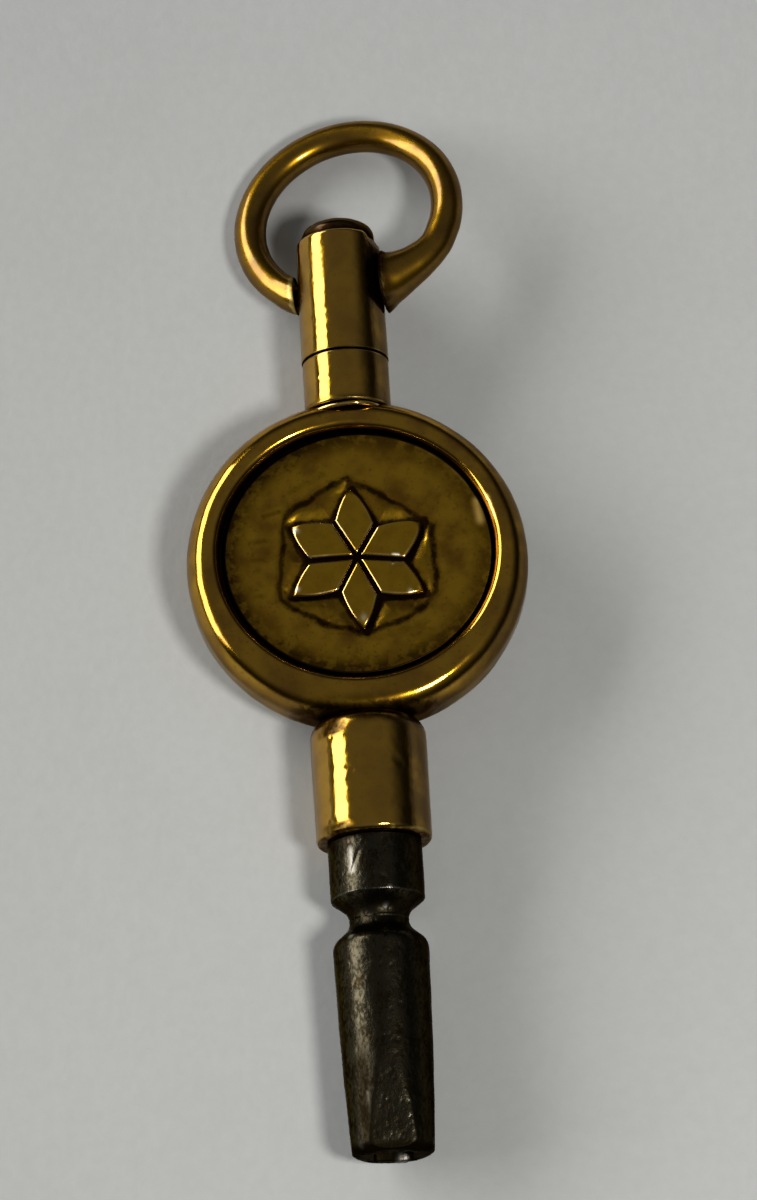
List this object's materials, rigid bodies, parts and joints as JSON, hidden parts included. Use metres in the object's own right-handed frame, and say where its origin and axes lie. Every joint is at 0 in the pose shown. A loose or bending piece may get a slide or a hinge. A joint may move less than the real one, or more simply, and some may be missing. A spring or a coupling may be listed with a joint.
{
  "type": "watch key",
  "caption": "Pocket watch winding key with a square socket pipe, round rosette medallion and folding swivel bow.",
  "frame": {"origin": "centre of the socket's mouth, in the plane of the pipe's end face", "axes": "the key lies on its back: +Y along the key from the socket's mouth to the bow, +Z out of the front plaque, +X to its right"},
  "size_m": [0.014, 0.0454, 0.0049],
  "materials": {
    "brass": "old gilt brass, polished by wear, with small dents and scratches",
    "plaque_brass": "stamped gilt brass, mottled, with dark tarnish in the hollows",
    "core_metal": "plain unpolished brass",
    "steel": "dark old steel, lightly pitted"
  },
  "bodies": {
    "key": {"key_pipe": "steel", "ferrule": "brass", "medallion_rim": "brass", "front_plaque": "plaque_brass", "back_plaque": "plaque_brass", "core_disc": "core_metal", "neck_collar": "brass", "stem_pin": "brass"},
    "swivel": {"swivel_sleeve": "brass"},
    "bow": {"bow": "brass"}
  },
  "joints": [
    {"name": "swivel_turn", "type": "hinge", "parent": "key", "child": "swivel", "pos_m": [0, 0.0369, 0], "axis": [0, 1, 0], "continuous": true},
    {"name": "bow_fold", "type": "hinge", "parent": "swivel", "child": "bow", "pos_m": [0, 0.0369, 0], "axis": [0.9759, 0, 0.2181], "range_deg": [-122, 147]}
  ]
}
